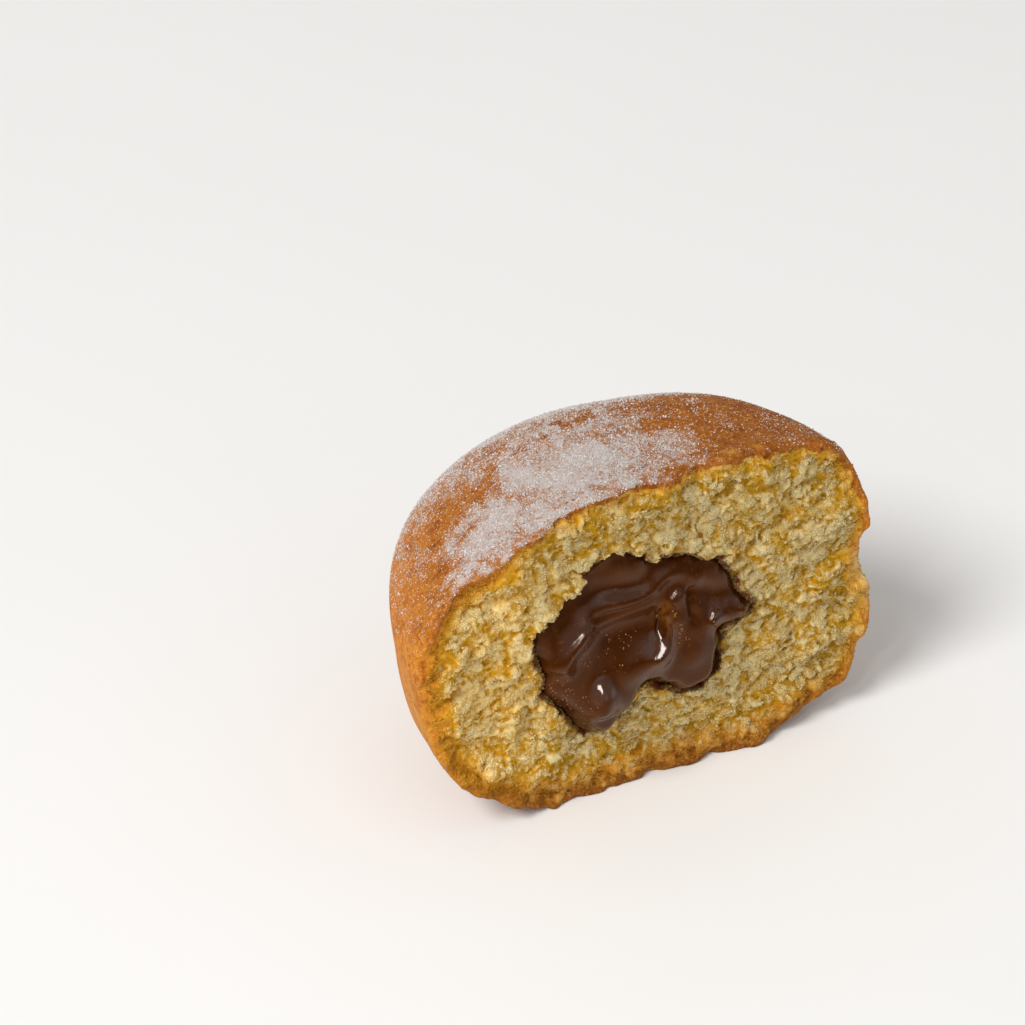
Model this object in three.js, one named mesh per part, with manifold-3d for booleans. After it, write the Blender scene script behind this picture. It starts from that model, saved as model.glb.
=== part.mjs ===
// Half of a small filled doughnut, torn open down the middle.
// The torn face looks along -Y, the browned crust closes the back, and the half stands on its flat base.
// A chocolate filling sits in a pocket that opens on the torn face. Millimetres, +Z up.

import * as THREE from 'three';
import { ParametricGeometry } from 'three/addons/geometries/ParametricGeometry.js';
import { ImprovedNoise } from 'three/addons/math/ImprovedNoise.js';
import { mergeVertices } from 'three/addons/utils/BufferGeometryUtils.js';
import Module from 'manifold-3d';

// Driving dimensions
const WIDTH = 60;
const HEIGHT = 42;
const RADIUS = WIDTH / 2;

// Outline of the crust from the middle of the base to the middle of the top, one outline for each
// direction, as shares of RADIUS and HEIGHT. The right side stands steep with a waist half way up,
// the left side tucks under in a long round, and the back has the widest foot. The side outlines reach
// further round towards the back with a higher SIDE_SPREAD.
const RIGHT_OUTLINE = [
  [0, 0], [0.27, 0], [0.51, 0], [0.68, 0.05], [0.85, 0.085], [0.925, 0.19], [0.995, 0.36],
  [0.927, 0.52], [0.965, 0.635], [0.915, 0.775], [0.805, 0.905], [0.625, 0.965], [0.325, 0.997], [0, 1],
];
const LEFT_OUTLINE = [
  [0, 0], [0.19, 0], [0.38, 0], [0.56, 0.055], [0.76, 0.16], [0.875, 0.29], [0.925, 0.417],
  [0.96, 0.535], [0.975, 0.62], [0.925, 0.722], [0.77, 0.825], [0.545, 0.935], [0.28, 0.992], [0, 1],
];
const BACK_OUTLINE = [
  [0, 0], [0.3, 0], [0.57, 0], [0.75, 0.07], [0.883, 0.19], [0.96, 0.32], [0.987, 0.44],
  [0.99, 0.547], [0.975, 0.65], [0.925, 0.755], [0.807, 0.862], [0.58, 0.957], [0.3, 0.994], [0, 1],
];
const SIDE_SPREAD = 4;
const CRUST_AROUND = 80;
const CRUST_UP = 44;

// Soft swells of the crust: how far they stand out, how far apart they lie, and the height over
// which they grow from nothing at the flat base.
const SWELL_DEPTH = 0.9;
const SWELL_PITCH = 15;
const SWELL_START = 9;

// Crags of the torn crumb, coarse to fine: how far they stand out and how far apart they lie.
const CRAGS = [
  { depth: 2.2, pitch: 10.5 },
  { depth: 2.0, pitch: 4.6 },
  { depth: 1.1, pitch: 2.3 },
];
const CRAG_MEAN = 0.22;
const CRAG_CELL = 1.05;
const CRAG_SEED = 3.7;
const TEAR_MARGIN = 3;

// Filling: the middle of its mouth on the torn face, its depth in the crumb, and the gap round it.
const FILLING_X = -0.2;
const FILLING_Z = 21.2;
const FILLING_DEPTH = 12;
const FILLING_GAP = 0.35;
const FILLING_AROUND = 72;
const FILLING_RINGS = 12;
const FRONT_REACH = 8;

// Outline of the mouth: direction in degrees from +X towards +Z, and reach from the middle.
const MOUTH = [
  [5, 11.8], [32, 11.1], [50, 9.8], [70, 8.9], [86, 8.6], [96, 10.4], [108, 12.7], [121, 12.2],
  [133, 13.2], [144, 12.3], [155, 13.9], [167, 14.3], [180, 13.1], [190, 12.5], [201, 13.2],
  [214, 12.8], [241, 13.9], [252, 10.6], [263, 6.8], [277, 7.1], [288, 8.7], [299, 11.6],
  [312, 12.5], [334, 10.9], [343, 9.8], [352, 14.2],
];

// Front of the filling: how far it stands out of the torn face at its mouth and in its middle, how
// much more for each millimetre down, and the share of its reach over which its edge rounds in.
const FRONT_SET = 0.5;
const FRONT_BULGE = 0.5;
const FRONT_LEAN = 0.14;
const EDGE_SINK = 0.5;
const EDGE_ROUND = 0.1;
const FRONT_CELL = 0.62;

// Folds of the front, each a line of X and Z with the height of its ridge and its half width to the left
// and right of the line. A fold of negative height is a groove or a hollow. FOLD_TAPER is the share of
// the line over which a fold runs out at each end.
const FOLDS = [
  {
    height: 0.8,
    left: 0.9,
    right: 1,
    line: [[-10, 26.2], [-5.5, 26.8], [-2.4, 26.6], [0.2, 27], [1.7, 28], [3.8, 28], [8.7, 25]],
  },
  { height: -0.5, left: 0.9, right: 0.9, line: [[-7.6, 29], [-4.5, 28.3], [-1.9, 27.6], [0.4, 27.6]] },
  { height: 0.4, left: 0.7, right: 0.8, line: [[-9, 24.8], [-5.8, 24.9], [-2, 25.2], [1, 25.3]] },
  { height: 1.1, left: 0.8, right: 3, line: [[-12.5, 18.7], [-11.8, 22.6], [-9.1, 25], [-7.5, 25.4]] },
  { height: 0.8, left: 0.7, right: 1.6, line: [[-0.9, 17.9], [1, 19.6], [1.7, 21.5], [1.9, 23.5]] },
  { height: -0.7, left: 0.7, right: 0.6, line: [[0, 20.5], [0.3, 22], [0.6, 24.3]] },
  { height: 0.6, left: 1.8, right: 1.8, line: [[4.4, 24.2], [5.6, 21.6], [5.8, 18.3], [4.8, 15.1]] },
  { height: 0.9, left: 1.8, right: 2, line: [[-4.8, 17.3], [-2.5, 17.9], [-0.5, 18.3], [2.5, 17.3]] },
  { height: 1.8, left: 1.5, right: 2.4, line: [[-7.2, 12.8], [-6.8, 15.1], [-5.8, 16.4]] },
  { height: 0.6, left: 0.9, right: 0.9, line: [[9.7, 22], [12, 20.5]] },
  { height: 0.5, left: 1.2, right: 1.2, line: [[-4.4, 31.3], [-0.2, 29.9]] },
  { height: -0.6, left: 1, right: 1, line: [[6.2, 25.1], [8.7, 23.6], [10.7, 22.1]] },
  { height: -0.6, left: 1.6, right: 1.6, line: [[-6.7, 22.8], [-3, 22.8], [-0.1, 22.7]] },
];
const FOLD_STEPS = 24;
const FOLD_TAPER = 0.2;

// Colours
const CRUST_COLOUR = 0xb4702c;
const CHOCOLATE_COLOUR = 0x4a2a18;

const noise = new ImprovedNoise();
const { lerp, radToDeg, smoothstep, smootherstep } = THREE.MathUtils;
const wasm = await Module();
wasm.setup();

// A closed geometry as a solid for joining and cutting: its shared vertices are merged, and the faces
// that collapse at a pole are dropped.
function solidOf(geometry) {
  geometry.deleteAttribute('normal');
  geometry.deleteAttribute('uv');
  const merged = mergeVertices(geometry, 1e-4);
  const corners = merged.index.array;
  const kept = [];
  for (let i = 0; i < corners.length; i += 3) {
    const [a, b, c] = corners.slice(i, i + 3);
    if (a !== b && b !== c && a !== c) kept.push(a, b, c);
  }
  return new wasm.Manifold(new wasm.Mesh({
    numProp: 3,
    vertProperties: merged.attributes.position.array,
    triVerts: new Uint32Array(kept),
  }));
}

function geometryOf(solid) {
  const mesh = solid.getMesh();
  const geometry = new THREE.BufferGeometry();
  geometry.setAttribute('position', new THREE.BufferAttribute(mesh.vertProperties, 3));
  geometry.setIndex(new THREE.BufferAttribute(mesh.triVerts, 1));
  geometry.computeVertexNormals();
  return geometry;
}

function curveOf(points) {
  return new THREE.SplineCurve(points.map(([x, y]) => new THREE.Vector2(x, y)));
}

// The uncut doughnut: a round body whose outline turns from the right one through the back one to the
// left one, with soft swells. Its front is the mirror image of its back.
function wholeDoughnut() {
  const right = curveOf(RIGHT_OUTLINE);
  const left = curveOf(LEFT_OUTLINE);
  const back = curveOf(BACK_OUTLINE);
  const middle = new THREE.Vector3(0, 0, HEIGHT / 2);
  const surface = (u, v, target) => {
    const angle = u * 2 * Math.PI;
    const turn = Math.cos(angle);
    const side = (turn > 0 ? right : left).getPoint(v);
    const outline = back.getPoint(v).lerp(side, 1 - Math.abs(Math.sin(angle)) ** SIDE_SPREAD);
    const r = Math.max(0, outline.x) * RADIUS;
    const z = Math.max(0, outline.y) * HEIGHT;
    target.set(r * turn, r * Math.sin(angle), z);
    const swell = noise.noise(target.x / SWELL_PITCH, target.y / SWELL_PITCH, z / SWELL_PITCH);
    const out = target.clone().sub(middle).normalize();
    target.addScaledVector(out, SWELL_DEPTH * swell * smoothstep(z, 0, SWELL_START));
  };
  return solidOf(new ParametricGeometry(surface, CRUST_AROUND, CRUST_UP));
}

// A block behind the plane Y = 0 whose front stands out of that plane by height(x, z).
function reliefBlock(across, deep, up, cell, centreX, centreZ, height) {
  const block = new THREE.BoxGeometry(across, deep, up, Math.round(across / cell), 1, Math.round(up / cell));
  block.translate(centreX, deep / 2, centreZ);
  const place = block.attributes.position;
  for (let i = 0; i < place.count; i += 1) {
    if (place.getY(i) < deep / 2) place.setY(i, -height(place.getX(i), place.getZ(i)));
  }
  return solidOf(block);
}

// Each size of crag is a clump with a round top and a sharp crease round it.
function cragHeight(x, z) {
  return CRAGS.reduce((sum, { depth, pitch }) => {
    const clump = Math.abs(noise.noise(x / pitch, z / pitch, CRAG_SEED)) - CRAG_MEAN;
    return sum + depth * clump;
  }, 0);
}

// Everything behind the torn face.
function behindTear() {
  const across = WIDTH + 2 * TEAR_MARGIN;
  const deep = RADIUS + TEAR_MARGIN;
  const up = HEIGHT + 2 * TEAR_MARGIN;
  return reliefBlock(across, deep, up, CRAG_CELL, 0, HEIGHT / 2, cragHeight);
}

// Reach of the mouth at an angle in radians, eased between the listed directions.
function mouthReach(angle) {
  const turn = (radToDeg(angle) + 360) % 360;
  const count = MOUTH.length;
  const after = Math.max(0, MOUTH.findIndex(([at]) => at > turn));
  const [from, low] = MOUTH[(after + count - 1) % count];
  const [to, high] = MOUTH[after];
  const along = ((turn - from + 360) % 360) / ((to - from + 360) % 360);
  return lerp(low, high, smootherstep(along, 0, 1));
}

// The pocket's space: the mouth drawn out through the torn face, and closed by a round back.
function pocket(gap) {
  const surface = (u, v, target) => {
    const angle = (1 - u) * 2 * Math.PI;
    const swing = v * Math.PI;
    const share = Math.sin(swing);
    const reach = share * (mouthReach(angle) + gap);
    const front = FRONT_REACH * (share ** 8 - 1);
    const back = -Math.cos(swing) * (FILLING_DEPTH + gap);
    const x = FILLING_X + reach * Math.cos(angle);
    const z = FILLING_Z + reach * Math.sin(angle);
    target.set(x, v < 0.5 ? front : back, z);
  };
  return solidOf(new ParametricGeometry(surface, FILLING_AROUND, FILLING_RINGS));
}

const foldLines = FOLDS.map(({ line }) => curveOf(line).getPoints(FOLD_STEPS));

// Height of one fold at a point of the front.
function foldHeight({ height, left, right }, line, here) {
  const gaps = line.map((point) => point.distanceTo(here));
  const away = Math.min(...gaps);
  const nearest = gaps.indexOf(away);
  const before = line[Math.max(0, nearest - 1)];
  const after = line[Math.min(FOLD_STEPS, nearest + 1)];
  const along = after.clone().sub(before).normalize();
  const side = along.cross(here.clone().sub(line[nearest]).normalize());
  const width = lerp(right, left, smoothstep(side, -0.6, 0.6));
  const fromEnd = Math.min(nearest, FOLD_STEPS - nearest) / FOLD_STEPS;
  const taper = smoothstep(fromEnd, -FOLD_TAPER / 3, FOLD_TAPER);
  return height * taper * Math.exp(-((away / width) ** 2));
}

// How far the front of the filling stands out: its bulge, its lean and its folds, rounded in at the edge.
function frontHeight(x, z) {
  const dx = x - FILLING_X;
  const dz = z - FILLING_Z;
  const share = Math.min(1, Math.hypot(dx, dz) / mouthReach(Math.atan2(dz, dx)));
  const inside = smoothstep(1 - share, 0, EDGE_ROUND);
  const stand = FRONT_SET - FRONT_LEAN * dz + FRONT_BULGE * (1 - share * share);
  const here = new THREE.Vector2(x, z);
  const folds = FOLDS.reduce((sum, fold, i) => sum + foldHeight(fold, foldLines[i], here), 0);
  return inside * (stand + folds) - EDGE_SINK * (1 - inside);
}

function filling() {
  const across = 2 * Math.max(...MOUTH.map(([, reach]) => reach)) + 1;
  const block = reliefBlock(across, 2 * FILLING_DEPTH, across, FRONT_CELL, FILLING_X, FILLING_Z, frontHeight);
  return pocket(0).intersect(block);
}

function dough() {
  return wholeDoughnut().intersect(behindTear()).subtract(pocket(FILLING_GAP));
}

function meshOf(name, solid, color, roughness) {
  const material = new THREE.MeshStandardMaterial({ color, roughness, metalness: 0 });
  const mesh = new THREE.Mesh(geometryOf(solid), material);
  mesh.name = name;
  return mesh;
}

const doughnut = new THREE.Group();
doughnut.add(meshOf('dough', dough(), CRUST_COLOUR, 0.8));
doughnut.add(meshOf('filling', filling(), CHOCOLATE_COLOUR, 0.25));

// The origin is the middle of the bounding box, on the base.
const bounds = new THREE.Box3().setFromObject(doughnut);
const centre = bounds.getCenter(new THREE.Vector3());
doughnut.children.forEach((mesh) => mesh.position.set(-centre.x, -centre.y, -bounds.min.z));

export default doughnut;
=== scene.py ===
"""Looks of the torn half of a mini filled doughnut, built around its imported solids.

The crumb, crust and chocolate are meshed from distance fields, and the sugar, loose crumbs and bubbles
from arrays.
Lengths are in millimetres, and turn into metres where a mesh becomes an object.
"""
import math

import bpy
import numpy as np
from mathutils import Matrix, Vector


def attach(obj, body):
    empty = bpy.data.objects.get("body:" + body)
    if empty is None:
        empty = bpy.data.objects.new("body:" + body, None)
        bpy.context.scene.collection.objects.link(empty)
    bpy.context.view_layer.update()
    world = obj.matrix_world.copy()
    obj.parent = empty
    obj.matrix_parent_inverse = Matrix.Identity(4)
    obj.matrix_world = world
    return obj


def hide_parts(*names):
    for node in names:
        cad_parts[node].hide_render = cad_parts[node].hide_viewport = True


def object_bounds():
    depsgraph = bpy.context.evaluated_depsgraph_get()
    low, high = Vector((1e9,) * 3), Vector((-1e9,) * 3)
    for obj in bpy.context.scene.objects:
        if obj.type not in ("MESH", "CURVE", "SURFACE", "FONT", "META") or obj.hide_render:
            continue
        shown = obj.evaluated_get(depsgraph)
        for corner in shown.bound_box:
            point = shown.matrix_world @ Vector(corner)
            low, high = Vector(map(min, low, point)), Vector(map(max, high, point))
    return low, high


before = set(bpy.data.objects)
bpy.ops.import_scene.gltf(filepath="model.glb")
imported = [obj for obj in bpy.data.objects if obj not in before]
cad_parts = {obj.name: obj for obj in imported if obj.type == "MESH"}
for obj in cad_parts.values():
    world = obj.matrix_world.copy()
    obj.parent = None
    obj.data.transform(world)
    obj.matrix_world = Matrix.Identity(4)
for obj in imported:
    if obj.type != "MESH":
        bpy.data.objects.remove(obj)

import openvdb
from mathutils import Matrix, Vector
from mathutils.bvhtree import BVHTree

CAD_BOX = [list(corner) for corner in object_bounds()]
MM = 0.001
HEIGHT = CAD_BOX[1][2] / MM
DOUGH_SEED = 5
GRAIN_SEED = 11

# Camera, as it stood for the photograph
PICTURE = 1025
VIEW_AZIMUTH = -28.0
VIEW_ELEVATION = 35.5
VIEW_DISTANCE = 480.0
PIXELS_PER_MM = 8.9
TARGET = Vector((-1.81, -13.02, 22.1))
TARGET_PIXEL = (636.0, 627.0)
SENSOR = 36.0

# The torn face: its middle plane, how far behind it the crags end, and where the crust is whole
CUT_Y = -13.02
TORN_DEPTH = 3.0
WHOLE_CRUST_Y = CUT_Y + 1.8

# Grid of the dough's field, and how much its facets are smoothed
DOUGH_STEP = 0.18
DOUGH_BAND = 10
CRUST_SMOOTH = 0.5
TORN_SMOOTH = 0.22
DOUGH_TRIANGLES = 196000

# Crumb: sizes and depths of clumps with creases between them, and of cells with walls between them
CRUMB_CLUMPS = [(3.2, 0.40), (1.7, 0.58), (0.9, 0.40), (0.55, 0.16)]
CRUMB_CELLS = [(0.6, 0.12)]
CRUMB_REACH = 1.6
PORE_COUNT = 130
PORE_RADIUS = (0.15, 0.45)
PORE_SOFTNESS = 0.35
# Lumps of crumb that hang over the edge of the chocolate: middles over X and Z, and radius
CRUMB_LUMPS = [(-10.9, 30.6, 1.3), (-9.6, 31.0, 1.2), (-13.6, 26.4, 0.8), (2.1, 32.2, 0.9),
               (10.6, 28.4, 0.8)]
# Loose crumbs on the torn face: their number and size
CRUMB_GRAINS = 24000
CRUMB_GRAIN_SIZE = (0.14, 0.42)

# Rim of the torn face: the depths under the crust over which the clumps begin, how much it is grown,
# and the heights over which it gets thicker towards the base
RIM_SOUND = (0.15, 1.3)
RIM_GROWTH = 0.25
RIM_LOW = (9.0, 2.5)
RIM_LOW_SHARE = 1.1

# Filling: grid, how far it reaches into the crumb, and how much its front is smoothed and its edge rounded
FILLING_STEP = 0.15
FILLING_BAND = 12
FILLING_REACH = 0.5
FILLING_SMOOTH = 0.45
FILLING_ROUND = 1.7
FILLING_TRIANGLES = 110000

# Folds of the chocolate, drawn finer than in the solid: height, half widths to the left and right of the
# line, and the line over X and Z
FOLDS = [
    (-0.30, 0.40, 0.40, [(-9.4, 25.7), (-5.6, 25.6), (-2.2, 25.5), (0.4, 25.9)]),
    (0.15, 0.50, 0.50, [(-10.3, 26.2), (-5.8, 26.8), (-2.7, 26.6), (-0.1, 27.0), (1.4, 28.0), (3.5, 28.0),
                        (8.4, 25.0)]),
    (0.66, 0.42, 1.50, [(-13.6, 19.6), (-12.4, 21.3), (-10.6, 23.3), (-8.2, 25.4)]),
    (0.50, 0.35, 0.50, [(-1.2, 18.1), (0.7, 19.6), (1.4, 21.4), (1.5, 23.0)]),
    (0.64, 0.42, 1.20, [(-8.5, 13.0), (-8.0, 15.7), (-6.6, 17.8)]),
    (-0.75, 0.35, 0.35, [(1.0, 24.0), (0.9, 22.4), (0.5, 20.6)]),
    (-0.65, 0.50, 0.70, [(5.4, 25.6), (4.9, 23.4), (5.4, 21.0)]),
    (0.78, 0.45, 1.60, [(6.8, 20.2), (8.2, 22.0)]),
    (0.66, 0.45, 1.80, [(2.0, 24.4), (3.7, 26.0)]),
    (0.72, 0.45, 0.54, [(11.6, 20.2), (11.8, 21.2)]),
]
# How much the front is smoothed before its leaning is read for the painted reflection in the chocolate's
# colour and for its gloss
SHEEN_BLUR = 0.4
# Thin clear film of chocolate: its middle line over X and Z, and its half width
FILM = [(1.4, 24.2), (2.2, 21.8), (2.7, 19.2)]
FILM_WIDTH = 0.9

# Bubbles in the chocolate: middles of their swarms over X and Z, their spread, number and size
BUBBLE_SWARMS = [(-8.0, 21.4), (-5.7, 21.5), (-3.5, 21.0), (-8.6, 20.3), (-5.4, 19.4), (-11.4, 16.0),
                 (-9.4, 15.1), (-11.2, 18.4), (-10.6, 14.6), (-12.2, 17.2)]
BUBBLE_SPREAD = 0.9
BUBBLE_COUNT = 170
BUBBLE_SIZE = (0.08, 0.24)
# Thin lines of beads by the film and on a lobe: lines over X and Z, half width, and weight beside a swarm
# The beads are pale, as painted highlight in thin lines.
BEAD_LINES = [
    [(2.2, 23.9), (3.1, 21.5), (4.1, 19.3)],
    [(3.0, 20.3), (3.1, 18.9)],
    [(0.8, 24.1), (0.7, 22.6)],
    [(7.3, 21.1), (7.7, 21.5)],
]
BEAD_WIDTH = 0.1
BEAD_WEIGHT = 8.0
# Ragged outline of the chocolate: sizes and depths of its jags
JAGS = [(1.9, 0.5), (0.9, 0.25)]

# Sugar: numbers and sizes of the powder's grains and of the crystals
DUST_GRAINS = 49500
DUST_SIZE = (0.06, 0.13)
CRYSTAL_GRAINS = 7000
CRYSTAL_SIZE = (0.08, 0.19)
# Outline of the white drift of sugar, seen from above, and middles of gaps in it
SUGAR_DRIFT = [(-22.5, -6.0), (-22.5, -15.5), (-12.0, -16.5), (-4.5, -16.0), (3.5, -13.0), (8.5, -7.0),
               (2.6, 1.3), (-2.9, 4.3), (-12.4, 2.7), (-17.0, -4.0)]
SUGAR_GAPS = [(-12.2, -7.0), (-17.2, -1.3), (-10.2, 0.4), (4.8, -3.0), (0.5, -0.9)]
SUGAR_GAP_REACH = 1.9

# Shapes of grains: corners and faces of a tetrahedron, an octahedron, a ball of twenty faces and a box
TETRA_CORNERS = np.array([(1, 1, 1), (1, -1, -1), (-1, 1, -1), (-1, -1, 1)], float)
TETRA_FACES = np.array([(0, 1, 2), (0, 3, 1), (0, 2, 3), (1, 3, 2)])
OCTA_CORNERS = np.array([(1, 0, 0), (-1, 0, 0), (0, 1, 0), (0, -1, 0), (0, 0, 1), (0, 0, -1)], float)
OCTA_FACES = np.array([(0, 2, 4), (2, 1, 4), (1, 3, 4), (3, 0, 4),
                       (2, 0, 5), (1, 2, 5), (3, 1, 5), (0, 3, 5)])
GOLDEN = (1 + math.sqrt(5)) / 2
BALL_CORNERS = np.array([(-1, GOLDEN, 0), (1, GOLDEN, 0), (-1, -GOLDEN, 0), (1, -GOLDEN, 0),
                         (0, -1, GOLDEN), (0, 1, GOLDEN), (0, -1, -GOLDEN), (0, 1, -GOLDEN),
                         (GOLDEN, 0, -1), (GOLDEN, 0, 1), (-GOLDEN, 0, -1), (-GOLDEN, 0, 1)]) / GOLDEN
BALL_FACES = np.array([(0, 11, 5), (0, 5, 1), (0, 1, 7), (0, 7, 10), (0, 10, 11), (1, 5, 9), (5, 11, 4),
                       (11, 10, 2), (10, 7, 6), (7, 1, 8), (3, 9, 4), (3, 4, 2), (3, 2, 6), (3, 6, 8),
                       (3, 8, 9), (4, 9, 5), (2, 4, 11), (6, 2, 10), (8, 6, 7), (9, 8, 1)])
BOX_CORNERS = np.array([(x, y, z) for x in (-1, 1) for y in (-1, 1) for z in (-1, 1)], float)
BOX_FACES = np.array([(0, 1, 3, 2), (4, 6, 7, 5), (0, 4, 5, 1), (2, 3, 7, 6), (0, 2, 6, 4), (1, 5, 7, 3)])

# Light of the room, and lights with their places, widths and the way that the long side runs
ROOM_COLOUR = (1.0, 0.985, 0.965, 1.0)
ROOM_STRENGTH = 0.45
LIGHTS = [
    dict(name="window", place=(-900.0, -330.0, 1110.0), long=560.0, wide=560.0, watts=15.2,
         colour=(1.0, 0.985, 0.96), along=(1.0, 0.0, 0.0)),
    dict(name="glint", place=(-385.0, -378.0, 482.0), long=160.0, wide=9.0, watts=0.36,
         colour=(1.0, 0.99, 0.98), along=(0.8, 0.0, 0.6)),
    dict(name="fill", place=(60.0, -460.0, 260.0), long=380.0, wide=380.0, watts=0.12,
         colour=(1.0, 0.99, 0.98), along=(1.0, 0.0, 0.0)),
]

# Floor: half its width, and its height just under the base
FLOOR_SIDE = 3000.0
FLOOR_Z = -0.05


def smoothstep(low, high, value):
    t = np.clip((value - low) / (high - low), 0.0, 1.0)
    return t * t * (3.0 - 2.0 * t)


def gradient_noise(points, pitch, seed):
    """Smooth noise from about -1 to 1 at each point, with bumps about one pitch apart."""
    rng = np.random.default_rng(seed)
    order = rng.permutation(256)
    slopes = rng.normal(size=(256, 3)).astype(np.float32)
    slopes /= np.linalg.norm(slopes, axis=1)[:, None]
    scaled = (points / pitch).astype(np.float32)
    cell = np.floor(scaled)
    offset = scaled - cell
    cell = cell.astype(np.int64)
    fade = offset ** 3 * (offset * (offset * 6 - 15) + 10)
    total = np.zeros(len(points), np.float32)
    for corner in np.ndindex(2, 2, 2):
        key = order[(cell[:, 0] + corner[0]) & 255]
        key = order[(key + cell[:, 1] + corner[1]) & 255]
        key = order[(key + cell[:, 2] + corner[2]) & 255]
        rise = np.einsum("ij,ij->i", slopes[key], offset - np.float32(corner))
        share = np.where(corner, fade, 1 - fade).prod(axis=1)
        total += share * rise
    return 1.7 * total


class Field:
    """Signed distances on a regular grid, negative inside a solid."""

    def __init__(self, low, high, step):
        self.step = step
        self.low = np.floor(np.array(low) / step) * step
        self.shape = tuple(np.ceil((np.array(high) - self.low) / step).astype(int) + 1)
        self.values = np.zeros(self.shape, np.float32)

    def axis(self, i):
        return self.low[i] + self.step * np.arange(self.shape[i])

    def fill(self, points, triangles, band):
        """Takes the distances from a closed mesh, out to band grid steps."""
        transform = openvdb.createLinearTransform(voxelSize=self.step)
        grid = openvdb.FloatGrid.createLevelSetFromPolygons(
            np.ascontiguousarray(points - self.low, np.float32),
            triangles=np.ascontiguousarray(triangles, np.uint32),
            transform=transform, halfWidth=float(band))
        grid.copyToArray(self.values)
        return self

    def blurred(self, sigma):
        """The field smoothed by a Gaussian of that width in millimetres."""
        reach = int(math.ceil(2.5 * sigma / self.step))
        weights = np.exp(-0.5 * (np.arange(-reach, reach + 1) * self.step / sigma) ** 2)
        weights /= weights.sum()
        values = self.values
        for axis in range(3):
            ends = [(reach, reach) if a == axis else (0, 0) for a in range(3)]
            padded = np.pad(values, ends, mode="edge")
            values = np.zeros_like(self.values)
            for k, weight in enumerate(weights):
                part = [slice(None)] * 3
                part[axis] = slice(k, k + self.shape[axis])
                values += np.float32(weight) * padded[tuple(part)]
        smooth = Field(self.low, self.low, self.step)
        smooth.shape = self.shape
        smooth.values = values
        return smooth

    def at(self, points):
        """The field at any points, eased between the grid's own."""
        scaled = np.clip((points - self.low) / self.step, 0, np.array(self.shape) - 1.001)
        cell = scaled.astype(int)
        offset = scaled - cell
        total = np.zeros(len(points))
        for corner in np.ndindex(2, 2, 2):
            share = np.where(corner, offset, 1 - offset).prod(axis=1)
            total += share * self.values[tuple((cell + corner).T)]
        return total

    def mesh(self):
        """Points and faces of the surface where the field is zero."""
        edge = 3 * self.step
        grid = openvdb.FloatGrid(edge)
        grid.transform = openvdb.createLinearTransform(voxelSize=self.step)
        grid.copyFromArray(np.clip(self.values, -edge, edge))
        points, triangles, quads = grid.convertToPolygons(isovalue=0.0, adaptivity=0.0)
        return points + self.low, quads


def node_mesh(name):
    """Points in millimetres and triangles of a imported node."""
    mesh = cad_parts[name].data
    mesh.calc_loop_triangles()
    points = np.empty(len(mesh.vertices) * 3, np.float32)
    mesh.vertices.foreach_get("co", points)
    triangles = np.empty(len(mesh.loop_triangles) * 3, np.int32)
    mesh.loop_triangles.foreach_get("vertices", triangles)
    return points.reshape(-1, 3).astype(float) / MM, triangles.reshape(-1, 3)


def tree_of(points, triangles):
    return BVHTree.FromPolygons([Vector(p) for p in points], [tuple(t) for t in triangles.tolist()])


def distances(tree, points):
    return np.array([tree.find_nearest(p)[3] for p in points.tolist()])


def new_object(name, points, faces):
    """A smooth-shaded object from points in millimetres and faces of one size."""
    sides = faces.shape[1]
    mesh = bpy.data.meshes.new(name)
    mesh.vertices.add(len(points))
    mesh.vertices.foreach_set("co", np.ascontiguousarray(points * MM, np.float32).ravel())
    mesh.loops.add(faces.size)
    mesh.loops.foreach_set("vertex_index", np.ascontiguousarray(faces, np.int32).ravel())
    mesh.polygons.add(len(faces))
    mesh.polygons.foreach_set("loop_start", np.arange(0, faces.size, sides, dtype=np.int32))
    mesh.polygons.foreach_set("use_smooth", np.ones(len(faces), bool))
    mesh.update(calc_edges=True)
    mesh.validate()
    piece = bpy.data.objects.new(name, mesh)
    bpy.context.scene.collection.objects.link(piece)
    return piece


def thinned(piece, triangles):
    """Collapses a piece's edges, the flattest first, until about that many triangles are left."""
    mesh = piece.data
    mesh.calc_loop_triangles()
    modifier = piece.modifiers.new("thin", "DECIMATE")
    modifier.ratio = min(1.0, triangles / len(mesh.loop_triangles))
    graph = bpy.context.evaluated_depsgraph_get()
    piece.data = bpy.data.meshes.new_from_object(piece.evaluated_get(graph))
    piece.modifiers.clear()
    piece.data.name = mesh.name + "_mesh"
    piece.data.polygons.foreach_set("use_smooth", np.ones(len(piece.data.polygons), bool))
    return piece


def points_of(piece):
    points = np.empty(len(piece.data.vertices) * 3, np.float32)
    piece.data.vertices.foreach_get("co", points)
    return points.reshape(-1, 3).astype(float) / MM


def normals_of(piece):
    normals = np.empty(len(piece.data.vertices) * 3, np.float32)
    piece.data.vertex_normals.foreach_get("vector", normals)
    return normals.reshape(-1, 3)


def store(piece, name, values):
    attribute = piece.data.attributes.new(name, "FLOAT", "POINT")
    attribute.data.foreach_set("value", np.ascontiguousarray(values, np.float32))


dough_points, dough_triangles = node_mesh("dough")
filling_points, filling_triangles = node_mesh("filling")
filling_low = filling_points.min(axis=0)
filling_high = filling_points.max(axis=0)


def crust_tree():
    """The crust behind the torn rim, without the torn face and the pocket."""
    middle = dough_points[dough_triangles].mean(axis=1)
    in_pocket = np.all((middle > filling_low - 1.0) & (middle < filling_high + 1.0), axis=1)
    whole = (middle[:, 1] > CUT_Y + 1.2) & ~in_pocket
    return tree_of(dough_points, dough_triangles[whole])


CRUST = crust_tree()
FILLING = tree_of(filling_points, filling_triangles)


def rim_share(heights):
    """How many times as thick the rim is at each height as higher up."""
    return 1 + RIM_LOW_SHARE * smoothstep(*RIM_LOW, heights)


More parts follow.
